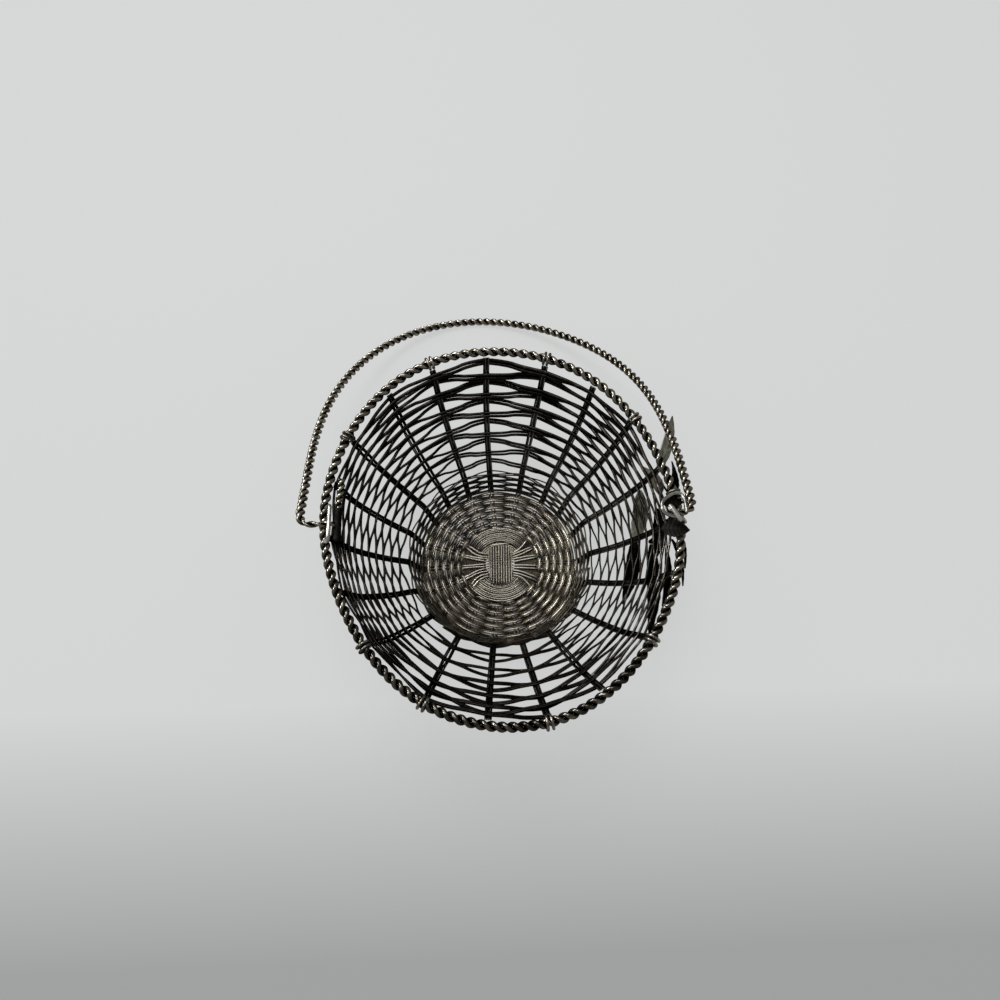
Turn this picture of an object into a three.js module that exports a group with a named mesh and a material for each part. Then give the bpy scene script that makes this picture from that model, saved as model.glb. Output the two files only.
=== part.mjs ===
// Round wire basket with a swinging twisted-wire bail handle.
// Millimetres, +Z up. Origin on the table under the middle of the base.
// The bail's hinge axis is parallel to X, above the rim.
import * as THREE from 'three';
import { mergeVertices } from 'three/addons/utils/BufferGeometryUtils.js';

// ---------------------------------------------------------------- dimensions
const D2R = Math.PI / 180;
const STAKES = 19;               // uprights, an odd number so that one weaver alternates
const RIM_Z = 81.5;              // rim rope centreline
const ROPE_R = 2.8;              // two twisted 2.7 mm wires
const RIM_REF = 106.8;           // rim radius that the wall profile is drawn for
const RIM_FOURIER = [101.2, 1.15, 1.39, -5.63, -1.71, 0.11, 0.61, 0.50, -0.05, 0.06, -0.25, 0.35, -0.17];
const COLLAR_TOP = 22;           // close-woven band at the foot of the wall
const STAKE_W = 3.8;             // four 0.95 mm wires side by side
const STAKE_T = 1.0;
const BAND_H = [2.2, 3.4];       // weaver: two wires, one above the other, thicker towards the rim
const BAND_T = [1.1, 1.6];
const CLEAR = 0.3;               // gap between touching wires
const WALL_ROWS = 11;            // rows counted above the collar
const ROW_PITCH = 6.57;          // along the slope
const COLLAR_TURNS = 7;
const SPOKE_IN = 27.8;           // inner end of each spoke
const HUB = new THREE.Vector2(0.4, -2.5);   // middle of the base cross
const HUB_R = 24.8;
const BASE_R = 48.45;
const HINGE_Z = 86.5;            // bail axis
const BAIL_REST = 24.306;        // degrees below horizontal, apex on the table

// wall profile on the north side: [z, r], outline of the stakes' middle surface
const PROFILE = [[0.5, 49.6], [1.1, 50.3], [2.4, 50.9], [8, 52.4], [15, 54.6], [22, 57.2], [27, 63.2], [33, 70.0], [38, 75.0],
  [43, 79.4], [48, 84.0], [53, 88.0], [58, 91.6], [63, 94.6], [68, 97.3], [73, 99.9], [78, 102.6], [81.5, 104.6]];

// azimuth of each stake at the collar and at the rim, degrees from +X
const STAKE_AZ = [[357.9, 359.4], [18.6, 17.5], [37.4, 36.8], [53.6, 54.7], [72.9, 72.7], [94.6, 92.4], [112.2, 110.6], [129.6, 127.2],
  [145.6, 147.6], [165.2, 164.4], [183.8, 183.6], [203.1, 203.4], [221.9, 222.4], [242.9, 246.4], [264.3, 264.8], [281.6, 281.2],
  [298.8, 298.2], [319.0, 318.5], [338.9, 340.6]];
const TIED = [2, 4, 6, 8, 12, 13, 15, 17];   // stakes lashed over the rim

// bail centreline in its own plane: [x, distance from the hinge axis]
const BAIL = [[-108.2, 14.5], [-109.0, 34.8], [-109.7, 55.6], [-109.5, 76.4], [-107.8, 97.3], [-104.0, 117.8], [-97.6, 137.9],
  [-88.2, 156.9], [-75.7, 173.8], [-60.3, 187.4], [-42.4, 197.0], [-23.0, 202.2], [-2.8, 202.6], [17.1, 198.4], [36.4, 190.2],
  [54.1, 178.6], [69.8, 164.2], [82.8, 147.6], [92.5, 129.4], [99.2, 110.0], [103.3, 89.7], [105.4, 68.9], [106.1, 47.9], [105.8, 27.0], [105.4, 12.0]];

// ---------------------------------------------------------------- shape functions
function rimR(th) {
  let r = RIM_FOURIER[0];
  for (let k = 1; k <= 6; k++) r += RIM_FOURIER[2 * k - 1] * Math.cos(k * th) + RIM_FOURIER[2 * k] * Math.sin(k * th);
  return r;
}
function profileR(z) {
  const P = PROFILE;
  if (z <= P[0][0]) return P[0][1];
  for (let i = 1; i < P.length; i++) if (z <= P[i][0]) {
    const t = (z - P[i - 1][0]) / (P[i][0] - P[i - 1][0]);
    return P[i - 1][1] + t * (P[i][1] - P[i - 1][1]);
  }
  return P[P.length - 1][1];
}
// wall radius at azimuth th and height z: round at the collar, the rim's outline at the top
function wallR(th, z) {
  const w = Math.min(1, Math.max(0, (z - COLLAR_TOP) / (RIM_Z - COLLAR_TOP)));
  return profileR(z) * (1 + w * (rimR(th) / RIM_REF - 1));
}
const wallPoint = (th, z, off = 0) => {
  // off moves along the wall's outward normal in the vertical plane
  const e = 0.5, r0 = wallR(th, z - e), r1 = wallR(th, z + e);
  const n = new THREE.Vector2(2 * e, -(r1 - r0)).normalize();       // (radial, z), outward and down
  const r = wallR(th, z) + n.x * off;
  return { p: new THREE.Vector3(r * Math.cos(th), r * Math.sin(th), z + n.y * off), n: new THREE.Vector3(n.x * Math.cos(th), n.x * Math.sin(th), n.y) };
};
// height after s millimetres of slope above the collar
const SLOPE = (() => {
  const t = [[0, COLLAR_TOP]]; let s = 0;
  for (let z = COLLAR_TOP; z < RIM_Z; z += 0.25) { s += Math.hypot(0.25, profileR(z + 0.25) - profileR(z)); t.push([s, z + 0.25]); }
  return t;
})();
function slopeZ(s) {
  for (let i = 1; i < SLOPE.length; i++) if (s <= SLOPE[i][0]) {
    const t = (s - SLOPE[i - 1][0]) / (SLOPE[i][0] - SLOPE[i - 1][0]);
    return SLOPE[i - 1][1] + t * (SLOPE[i][1] - SLOPE[i - 1][1]);
  }
  return RIM_Z;
}
function stakeAz(i, z) {          // i may run past one turn
  const k = ((i % STAKES) + STAKES) % STAKES, turn = Math.floor(i / STAKES);
  const t = Math.min(1, Math.max(0, (z - COLLAR_TOP) / (78 - COLLAR_TOP)));
  let a = STAKE_AZ[k][0], b = STAKE_AZ[k][1];
  if (k === 0) { a -= 360; b -= 360; }
  return (a + t * (b - a) + 360 * turn) * D2R;
}

// closed solid through a row of sections; loop joins the last section to the first
function loft(sections, loop = false) {
  const n = sections[0].length, pos = [], idx = [];
  sections.forEach(s => s.forEach(v => pos.push(v.x, v.y, v.z)));
  const m = sections.length, last = loop ? m : m - 1;
  for (let i = 0; i < last; i++) for (let j = 0; j < n; j++) {
    const a = i * n + j, b = i * n + (j + 1) % n, c = ((i + 1) % m) * n + j, d = ((i + 1) % m) * n + (j + 1) % n;
    idx.push(a, b, d, a, d, c);
  }
  if (!loop) {
    for (let j = 1; j < n - 1; j++) idx.push(0, j + 1, j);
    const o = (m - 1) * n;
    for (let j = 1; j < n - 1; j++) idx.push(o, o + j, o + j + 1);
  }
  let g = new THREE.BufferGeometry();
  g.setAttribute('position', new THREE.Float32BufferAttribute(pos, 3));
  g.setIndex(idx);
  // turn the faces outwards if the sections ran the other way
  let vol = 0; const A = new THREE.Vector3(), B = new THREE.Vector3(), C = new THREE.Vector3(), P = g.getAttribute('position');
  for (let t = 0; t < idx.length; t += 3) {
    A.fromBufferAttribute(P, idx[t]); B.fromBufferAttribute(P, idx[t + 1]); C.fromBufferAttribute(P, idx[t + 2]);
    vol += A.dot(B.cross(C));
  }
  if (vol < 0) { for (let t = 0; t < idx.length; t += 3) { const q = idx[t + 1]; idx[t + 1] = idx[t + 2]; idx[t + 2] = q; } g.setIndex(idx); }
  g.computeVertexNormals();
  return g;
}
// round wire along points, radius a number or a function of 0..1
function wire(points, radius, sides = 8, loop = false, up = new THREE.Vector3(0, 0, 1)) {
  const m = points.length, secs = [];
  for (let i = 0; i < m; i++) {
    const a = points[loop ? (i + m - 1) % m : Math.max(0, i - 1)], b = points[loop ? (i + 1) % m : Math.min(m - 1, i + 1)];
    const t = b.clone().sub(a).normalize();
    let u = up.clone().sub(t.clone().multiplyScalar(up.dot(t)));
    if (u.length() < 0.2) { const alt = new THREE.Vector3(0.2, 1, 0); u = alt.sub(t.clone().multiplyScalar(alt.dot(t))); }
    u.normalize();
    const v = new THREE.Vector3().crossVectors(t, u);
    const r = typeof radius === 'function' ? radius(i / (m - 1)) : radius;
    const s = [];
    for (let k = 0; k < sides; k++) {
      const c = 2 * Math.PI * k / sides;
      s.push(points[i].clone().addScaledVector(u, r * Math.cos(c)).addScaledVector(v, r * Math.sin(c)));
    }
    secs.push(s);
  }
  return loft(secs, loop);
}
const curvePoints = (pts, n, closed = false) => {
  const c = new THREE.CatmullRomCurve3(pts.map(p => new THREE.Vector3(...p)), closed, 'centripetal');
  const q = c.getSpacedPoints(n);
  if (closed) q.pop();
  return q;
};
const metal = (hex, rough, metalness = 0.9) => new THREE.MeshStandardMaterial({ color: hex, roughness: rough, metalness });
const PEWTER = metal(0x6e6a60, 0.38), PEWTER_DARK = metal(0x45423c, 0.45), BASE = metal(0x6a655a, 0.5), LEAF = metal(0x5c5a50, 0.5, 0.85);

const basket = new THREE.Group();
const add = (parent, name, geo, mat) => { const m = new THREE.Mesh(geo, mat); m.name = name; parent.add(m); return m; };

// ---------------------------------------------------------------- stakes: spoke under the base, bend, wall ribbon
function stakeGeometry(i) {
  const top = TIED.includes(i) ? 78.0 : 79.1;
  const secs = [];
  const azb = stakeAz(i, 0), hw = STAKE_W / 2, ht = STAKE_T / 2;
  const rib = (p, n, az) => {            // section: across the stake, through its thickness
    const t = new THREE.Vector3(-Math.sin(az), Math.cos(az), 0);
    return [[-hw, -ht], [hw, -ht], [hw, ht], [-hw, ht]].map(([a, b]) => p.clone().addScaledVector(t, a).addScaledVector(n, b));
  };
  const c = Math.cos(azb), s = Math.sin(azb);
  const down = new THREE.Vector3(0, 0, -1);
  secs.push(rib(new THREE.Vector3(SPOKE_IN * c, SPOKE_IN * s, 0.5), down, azb));
  secs.push(rib(new THREE.Vector3(49.2 * c, 49.2 * s, 0.5), down, azb));
  const corner = new THREE.Vector3(c, s, -1).normalize();
  secs.push(rib(new THREE.Vector3(50.55 * c, 50.55 * s, 0.86), corner, azb));
  for (const z of [2.6, 8, 15, 20.5, 22, 24.5, 30, 36, 43, 50, 57, 64, 71, top]) {
    const az = stakeAz(i, z), w = wallPoint(az, z);
    secs.push(rib(w.p, w.n, az));
  }
  return loft(secs);
}
for (let i = 0; i < STAKES; i++) add(basket, 'stake_' + String(i + 1).padStart(2, '0'), stakeGeometry(i), PEWTER_DARK);

// ---------------------------------------------------------------- weavers: bands that pass inside and outside the stakes in turn
function weaverGeometry(k0, k1, heightAt) {
  // k counts half-steps: even at a stake, odd between two stakes
  const secs = [];
  for (let k = k0; k <= k1; k++) {
    if (k % 2 && k !== k0 && k !== k1) continue;     // straight from stake to stake
    const z = heightAt(k / (2 * STAKES));
    const grow = Math.min(1, Math.max(0, (z - 26) / 38));
    const halfH = (BAND_H[0] + grow * (BAND_H[1] - BAND_H[0])) / 2, halfT = (BAND_T[0] + grow * (BAND_T[1] - BAND_T[0])) / 2;
    const push = STAKE_T / 2 + halfT + CLEAR + 0.17;
    const i = Math.floor(k / 2);
    let az, off;
    if (k % 2 === 0) { az = stakeAz(i, z); off = (i % 2 === 0 ? -1 : 1) * push; }
    else { az = 0.5 * (stakeAz(i, z) + stakeAz(i + 1, z)) + (k === k0 ? 0.25 : -0.25) / wallR(0, z); off = 0; }
    const secAt = (a, o) => {
      const w = wallPoint(a, z, o);
      const t = new THREE.Vector3(-Math.sin(a), Math.cos(a), 0);
      const up = new THREE.Vector3().crossVectors(w.n, t).normalize(); // along the wall, upwards
      return [[-halfH, -halfT], [halfH, -halfT], [halfH, halfT], [-halfH, halfT]]
        .map(([h, d]) => w.p.clone().addScaledVector(up, h).addScaledVector(w.n, d));
    };
    if (k % 2 === 0) {               // stay flat across the width of the stake
      const r = wallR(az, z), da = (STAKE_W / 2 + 0.7) / r;
      secs.push(secAt(az - da, off)); secs.push(secAt(az + da, off));
    } else secs.push(secAt(az, off));
  }
  return loft(secs);
}
const TURN = 2 * STAKES;
const wallHeight = t => slopeZ(Math.min(70.9, 4.9 + (t - 0.263) * ROW_PITCH));
const collarHeight = t => 2.55 + (t / COLLAR_TURNS) * 18.4;
add(basket, 'collar_weaver', weaverGeometry(1, COLLAR_TURNS * TURN - 1, collarHeight), PEWTER_DARK);
const cuts = [-13, 4 * TURN - 1, 8 * TURN - 1, WALL_ROWS * TURN - 8];    // each length ends where the next one starts
['wall_weaver_lower', 'wall_weaver_middle', 'wall_weaver_upper'].forEach((name, j) =>
  add(basket, name, weaverGeometry(cuts[j], cuts[j + 1], wallHeight), PEWTER_DARK));

// ---------------------------------------------------------------- base
function disc(outer, z0, h, holes = []) {
  const g = new THREE.ExtrudeGeometry(outer, { depth: h, bevelEnabled: false, curveSegments: 32 });
  g.translate(0, 0, z0);
  g.deleteAttribute('normal'); g.deleteAttribute('uv');
  const m = mergeVertices(g, 1e-4); m.computeVertexNormals();
  return m;
}
{
  // fine rounds that bind the cross, under the bundles
  const s = new THREE.Shape(); s.absarc(HUB.x, HUB.y, HUB_R, 0, 2 * Math.PI, false);
  add(basket, 'base_binding', disc(s, 0, 1.0), BASE);
  // the woven ring of the base, round the bound cross and inside the bends of the stakes
  const w = new THREE.Shape(); w.absarc(0, 0, BASE_R, 0, 2 * Math.PI, false);
  const h = new THREE.Path(); h.absarc(HUB.x, HUB.y, HUB_R + 0.9, 0, 2 * Math.PI, true); w.holes.push(h);
  add(basket, 'base_weave', disc(w, 1.3, 2.2), BASE);
  // east-west bundle, waisted where the other crosses it and fanned out at its ends
  const e = new THREE.Shape();
  const fan = [[-23.4, -9.2], [-9, -8.1], [9, -8.1], [23.4, -9.2], [23.4, 9.2], [9, 8.1], [-9, 8.1], [-23.4, 9.2]];
  fan.forEach(([x, y], i) => i ? e.lineTo(x + HUB.x, y + HUB.y) : e.moveTo(x + HUB.x, y + HUB.y)); e.closePath();
  add(basket, 'base_cross_ew', disc(e, 1.3, 1.2), BASE);
  const n = new THREE.Shape();
  [[-8.3, -21.5], [8.3, -21.5], [8.3, 21.5], [-8.3, 21.5]].forEach(([x, y], i) => i ? n.lineTo(x + HUB.x, y + HUB.y) : n.moveTo(x + HUB.x, y + HUB.y)); n.closePath();
  add(basket, 'base_cross_ns', disc(n, 2.8, 1.2), BASE);
}

// ---------------------------------------------------------------- rim rope and the lashings over it
const rimPoint = th => new THREE.Vector3(rimR(th) * Math.cos(th), rimR(th) * Math.sin(th), RIM_Z);
{
  const pts = []; for (let i = 0; i < 76; i++) pts.push(rimPoint(2 * Math.PI * i / 76));
  add(basket, 'rim_rope', wire(pts, ROPE_R, 8, true), PEWTER);
}
function tieGeometry(th) {
  const p = rimPoint(th), q = rimPoint(th + 0.01);
  const t = q.clone().sub(p).normalize();                    // along the rim
  const out = new THREE.Vector3(t.y, -t.x, 0);               // away from the basket
  const up = new THREE.Vector3(0, 0, 1), secs = [];
  const ri = ROPE_R + CLEAR, ro = ri + 1.0, hw = 2.3, f = 1 / Math.cos(Math.PI / 14);
  for (let k = 0; k < 14; k++) {
    const a = 2 * Math.PI * k / 14, d = out.clone().multiplyScalar(Math.cos(a)).addScaledVector(up, Math.sin(a));
    secs.push([[ri * f, -hw], [ri * f, hw], [ro * f, hw], [ro * f, -hw]].map(([r, w]) => p.clone().addScaledVector(d, r).addScaledVector(t, w)));
  }
  return loft(secs, true);
}
TIED.forEach((i, j) => add(basket, 'rim_tie_' + (j + 1), tieGeometry(stakeAz(i, 78)), PEWTER));
add(basket, 'leaf_tie', tieGeometry(7.4 * D2R), PEWTER);      // holds the stem of leaves to the rim

// ---------------------------------------------------------------- rope end and sleeve inside the rim, left
add(basket, 'rim_rope_tail', wire(curvePoints([[-87.0, 28, 80.4], [-87.2, 20, 81.0], [-87.7, 14, 81.3], [-88.0, 10.4, 81.4]], 8), 2.2), PEWTER);
add(basket, 'rim_sleeve', wire(curvePoints([[-88.1, 9.8, 81.4], [-87.9, -7.0, 81.4]], 2), 2.35, 10), PEWTER_DARK);

// ---------------------------------------------------------------- handle loops: a staple over each end of the bail
add(basket, 'left_handle_loop', wire(curvePoints([[-93.2, 9.3, 86.0], [-91.9, 9.9, 87.2], [-90.9, 9.3, 88.9], [-90.6, 6.8, 89.9], [-90.6, 0, 90.05],
  [-90.6, -6.8, 89.9], [-90.9, -9.3, 88.9], [-91.9, -9.9, 87.2], [-93.2, -9.3, 86.0]], 24), 1.2), PEWTER);
add(basket, 'right_handle_loop', wire(curvePoints([[99.2, -5.6, 86.6], [98.0, -4.8, 88.6], [95.2, -3.7, 90.3], [91.2, -3.4, 91.4], [87.7, -1.9, 92.1],
  [86.3, 1.4, 92.3], [87.4, 4.8, 92.0], [90.6, 7.5, 91.3], [94.2, 9.4, 90.7], [97.2, 9.5, 90.4], [98.9, 7.4, 90.5], [99.4, 4.0, 90.8], [99.5, 0.6, 91.1],
  [99.4, -1.2, 91.2]], 34), 1.1), PEWTER);
add(basket, 'right_loop_tail', (() => {
  const p = curvePoints([[95.4, -6.6, 92.7], [93.2, -2.9, 93.4], [90.6, 1.7, 93.6]], 6);
  const t = p[6].clone().sub(p[0]).normalize(), side = new THREE.Vector3(t.y, -t.x, 0), up = new THREE.Vector3(0, 0, 1);
  return loft(p.map((q, i) => { const w = i === 0 || i === 6 ? 0.8 : 1.25; return [[-w, -0.45], [w, -0.45], [w, 0.45], [-w, 0.45]].map(([a, b]) => q.clone().addScaledVector(side, a).addScaledVector(up, b)); }));
})(), PEWTER);

// ---------------------------------------------------------------- metal leaves on a stem, hanging outside the wall on the right
function leafGeometry(a, b, width, normal, arch, thick = 0.8) {
  const A = new THREE.Vector3(...a), B = new THREE.Vector3(...b), L = B.clone().sub(A);
  const t = L.clone().normalize();
  const n = new THREE.Vector3(...normal); n.addScaledVector(t, -n.dot(t)).normalize();
  const s = new THREE.Vector3().crossVectors(t, n), secs = [], M = 10;
  for (let i = 0; i <= M; i++) {
    const u = i / M, w = Math.max(0.35, 0.5 * width * Math.pow(Math.sin(Math.PI * Math.pow(u, 0.8)), 0.8));
    const c = A.clone().addScaledVector(L, u).addScaledVector(n, arch * Math.sin(Math.PI * u));
    const f = 0.16 * w;              // shallow fold along the midrib
    secs.push([[-w, f - thick / 2], [0, -thick / 2], [w, f - thick / 2], [w, f + thick / 2], [0, thick / 2], [-w, f + thick / 2]]
      .map(([x, y]) => c.clone().addScaledVector(s, x).addScaledVector(n, y)));
  }
  return loft(secs);
}
const LEAVES = [
  ['leaf_1', [102, 47, 31], [118, 89, 27], 8.5, [0.5, 0, 1], 3],
  ['leaf_2', [96.5, 23, 53], [89, 43, 50], 12, [0.6, 0, 0.8], 2],
  ['leaf_3', [100.5, 19, 62], [105, 43, 57], 13, [0.9, 0, 0.5], 1.5],
  ['leaf_4', [88, 32, 40], [80.5, -4, 31], 14, [0.6, 0, 0.8], 2],
  ['leaf_5', [99.5, -2, 66], [104.5, -23, 56], 10, [1, 0, 0.5], 1.5],
  ['leaf_6', [98.5, -6, 58], [104.5, -31, 47], 11, [1, 0, 0.5], 1.5],
  ['leaf_7', [82, 2, 36], [72.8, -36, 26], 12, [0.6, 0, 0.9], 2],
  ['leaf_8', [89, -5, 46], [84.5, -57, 35], 13.5, [0.7, 0, 0.8], 2],
  ['leaf_9', [86.3, -8.6, 86.0], [101.2, -10.2, 86.2], 10, [0, 0, 1], 0.8],
  ['leaf_10', [87.6, 6.4, 86.2], [100.2, 5.8, 86.0], 6.2, [0, 0, 1], 0.3],
  ['leaf_11', [92.5, 13, 58], [90, -15, 53], 12, [0.88, 0, -0.47], 1.5],
  ['leaf_12', [96.5, -9, 51], [90.5, -43, 50], 11, [0.8, 0, 0.5], 1.5],
];
LEAVES.forEach(([name, a, b, w, n, arch]) => add(basket, name, leafGeometry(a, b, w, n, arch), LEAF));
add(basket, 'leaf_stem', wire(curvePoints([[100.6, 11, 77.0], [100.8, 9, 70], [98.9, 5, 60], [95.8, 1, 50], [91, -1, 38]], 8), 1.4), LEAF);
// side branch from the stem to the lowest leaf, outside the others
add(basket, 'leaf_branch', wire(curvePoints([[102.7, 8, 66], [104.4, 14, 58], [104.3, 24, 47.5], [103, 36, 37.5], [101.9, 45.6, 31.4]], 8), 0.7), LEAF);

// ---------------------------------------------------------------- bail: twisted rope with turned-in ends on the hinge axis
{
  const bail = new THREE.Group();
  bail.position.set(0, 0, HINGE_Z);
  bail.rotation.x = -BAIL_REST * D2R;
  basket.add(bail);
  const pts = [[-88.8, 0, 0], [-92, 0, 0], [-96, 0, 0], [-100, 0, 0], [-103.6, 0.6, 0], [-106.6, 3.2, 0], [-107.9, 8, 0],
    ...BAIL.map(([x, u]) => [x, u, 0]), [104.9, 6.5, 0], [103.4, 2.4, 0], [101, 0.4, 0], [97.5, 0, 0], [94, 0, 0], [91.6, 0, 0]];
  const curve = new THREE.CatmullRomCurve3(pts.map(p => new THREE.Vector3(...p)), false, 'centripetal');
  const p = curve.getSpacedPoints(76);
  const R = q => { const x = Math.abs(q.x), near = q.y < 12; if (!near) return ROPE_R; const u = Math.min(1, Math.max(0, (q.y - 0.4) / 6)); return 1.9 + (ROPE_R - 1.9) * u; };
  add(bail, 'bail_rope', wire(p, t => R(p[Math.round(t * (p.length - 1))]), 8), PEWTER);
}

export default basket;
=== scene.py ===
# Round wire basket with a swinging twisted-wire bail: the visible wirework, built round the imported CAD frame.
# Lengths below are millimetres in the row frame; every mesh is written in metres.
import math

import bpy
import numpy as np
from mathutils import Matrix, Vector


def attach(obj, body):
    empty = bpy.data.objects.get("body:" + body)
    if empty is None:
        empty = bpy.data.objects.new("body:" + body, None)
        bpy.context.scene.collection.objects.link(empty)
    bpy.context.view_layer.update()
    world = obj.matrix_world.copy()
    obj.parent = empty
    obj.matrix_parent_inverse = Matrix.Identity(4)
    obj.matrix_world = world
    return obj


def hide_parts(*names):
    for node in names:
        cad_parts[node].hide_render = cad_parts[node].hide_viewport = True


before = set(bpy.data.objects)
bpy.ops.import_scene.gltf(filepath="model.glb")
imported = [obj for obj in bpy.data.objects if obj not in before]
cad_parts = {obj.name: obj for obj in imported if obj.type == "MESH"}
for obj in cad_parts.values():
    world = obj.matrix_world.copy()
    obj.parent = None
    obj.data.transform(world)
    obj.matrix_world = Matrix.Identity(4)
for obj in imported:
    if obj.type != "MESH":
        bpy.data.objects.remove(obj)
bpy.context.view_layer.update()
rng = np.random.RandomState(7)

# ---------------------------------------------------------------- camera
TILT, TURN = math.radians(21.0), math.radians(2.0)
ct, st, cr, sr = math.cos(TILT), math.sin(TILT), math.cos(TURN), math.sin(TURN)
right = Vector((cr, -sr, 0.0))
up = Vector((ct * sr, ct * cr, st))
back = Vector((-st * sr, -st * cr, ct))
target = Vector((0.0, 0.0, 3.0)) + 39.74 * up
place = target + 449.7 * back
cam_data = bpy.data.cameras.new("camera")
cam_data.sensor_width = 36.0
cam_data.lens = 24.948
cam_data.shift_x = 0.0005
cam_data.clip_start = 0.01
cam = bpy.data.objects.new("camera", cam_data)
bpy.context.scene.collection.objects.link(cam)
cam.matrix_world = Matrix((
    (right.x, up.x, back.x, place.x * 0.001),
    (right.y, up.y, back.y, place.y * 0.001),
    (right.z, up.z, back.z, place.z * 0.001),
    (0, 0, 0, 1)))
bpy.context.scene.camera = cam

# ---------------------------------------------------------------- the CAD's shape functions
STAKES = 19
RIM_Z, RIM_REF, COLLAR_TOP = 81.5, 106.8, 22.0
RIM_FOURIER = [101.2, 1.15, 1.39, -5.63, -1.71, 0.11, 0.61, 0.50, -0.05, 0.06, -0.25, 0.35, -0.17]
PROFILE = np.array([[0.5, 49.6], [1.1, 50.3], [2.4, 50.9], [8, 52.4], [15, 54.6], [22, 57.2], [27, 63.2], [33, 70.0], [38, 75.0],
                    [43, 79.4], [48, 84.0], [53, 88.0], [58, 91.6], [63, 94.6], [68, 97.3], [73, 99.9], [78, 102.6], [81.5, 104.6]])
STAKE_AZ = [[357.9, 359.4], [18.6, 17.5], [37.4, 36.8], [53.6, 54.7], [72.9, 72.7], [94.6, 92.4], [112.2, 110.6], [129.6, 127.2],
            [145.6, 147.6], [165.2, 164.4], [183.8, 183.6], [203.1, 203.4], [221.9, 222.4], [242.9, 246.4], [264.3, 264.8],
            [281.6, 281.2], [298.8, 298.2], [319.0, 318.5], [338.9, 340.6]]
TIED = [2, 4, 6, 8, 12, 13, 15, 17]
ROW_PITCH, COLLAR_TURNS, WALL_ROWS = 6.57, 7, 11
HUB = np.array([0.4, -2.5])
HINGE_Z, BAIL_REST = 86.5, math.radians(24.306)
BAIL = [[-108.2, 14.5], [-109.0, 34.8], [-109.7, 55.6], [-109.5, 76.4], [-107.8, 97.3], [-104.0, 117.8], [-97.6, 137.9],
        [-88.2, 156.9], [-75.7, 173.8], [-60.3, 187.4], [-42.4, 197.0], [-23.0, 202.2], [-2.8, 202.6], [17.1, 198.4], [36.4, 190.2],
        [54.1, 178.6], [69.8, 164.2], [82.8, 147.6], [92.5, 129.4], [99.2, 110.0], [103.3, 89.7], [105.4, 68.9], [106.1, 47.9],
        [105.8, 27.0], [105.4, 12.0]]


def rim_r(th):
    r = RIM_FOURIER[0] + 0 * th
    for k in range(1, 7):
        r = r + RIM_FOURIER[2 * k - 1] * np.cos(k * th) + RIM_FOURIER[2 * k] * np.sin(k * th)
    return r


# the drawn profile with its corners eased
_z = np.linspace(0.5, 81.5, 325)
_r = np.interp(_z, PROFILE[:, 0], PROFILE[:, 1])
_k = np.exp(-0.5 * (np.arange(-12, 13) / 4.0) ** 2)
_pad = np.concatenate([2 * _r[0] - _r[12:0:-1], _r, 2 * _r[-1] - _r[-2:-14:-1]])
_rs = np.convolve(_pad, _k / _k.sum(), "valid")
_soft = np.clip((_z - 3) / 6, 0, 1)
_rs = _r + (_rs - _r) * _soft


def profile_r(z):
    return np.interp(z, _z, _rs)


def wall_r(th, z):
    w = np.clip((z - COLLAR_TOP) / (RIM_Z - COLLAR_TOP), 0, 1)
    return profile_r(z) * (1 + w * (rim_r(th) / RIM_REF - 1))


def wall_frame(th, z):
    """radius, outward normal (radial, z) and upward tangent (radial, z) of the wall"""
    e = 0.5
    dr = wall_r(th, z + e) - wall_r(th, z - e)
    length = np.hypot(2 * e, dr)
    return wall_r(th, z), (2 * e / length, -dr / length), (dr / length, 2 * e / length)


def wall_xyz(th, z, off=0.0, lift=0.0, chord=0.0):
    r, n, t = wall_frame(th, z)
    rr = r * (1 - chord) + n[0] * off + t[0] * lift
    return np.stack([rr * np.cos(th), rr * np.sin(th), z + n[1] * off + t[1] * lift], -1)


_sz = np.arange(COLLAR_TOP, RIM_Z + 0.01, 0.25)
_ss = np.concatenate([[0], np.cumsum(np.hypot(0.25, np.diff(profile_r(_sz))))])


def slope_z(s):
    return np.interp(s, _ss, _sz)


def stake_az(i, z):
    k, turn = i % STAKES, i // STAKES
    t = np.clip((z - COLLAR_TOP) / (78 - COLLAR_TOP), 0, 1)
    a, b = STAKE_AZ[k]
    if k == 0:
        a, b = a - 360, b - 360
    return np.radians(a + t * (b - a) + 360 * turn)


def wander(n, scale, seed, step=1.0):
    """smooth random walk of n values, about +-scale"""
    q = np.random.RandomState(seed)
    x = np.arange(n) * step
    y = np.zeros(n)
    for f, a in ((0.11, 1.0), (0.23, 0.6), (0.47, 0.35), (0.9, 0.18)):
        y += a * np.sin(f * x * q.uniform(0.8, 1.25) + q.uniform(0, 6.28))
    return scale * y / 1.3


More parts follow.
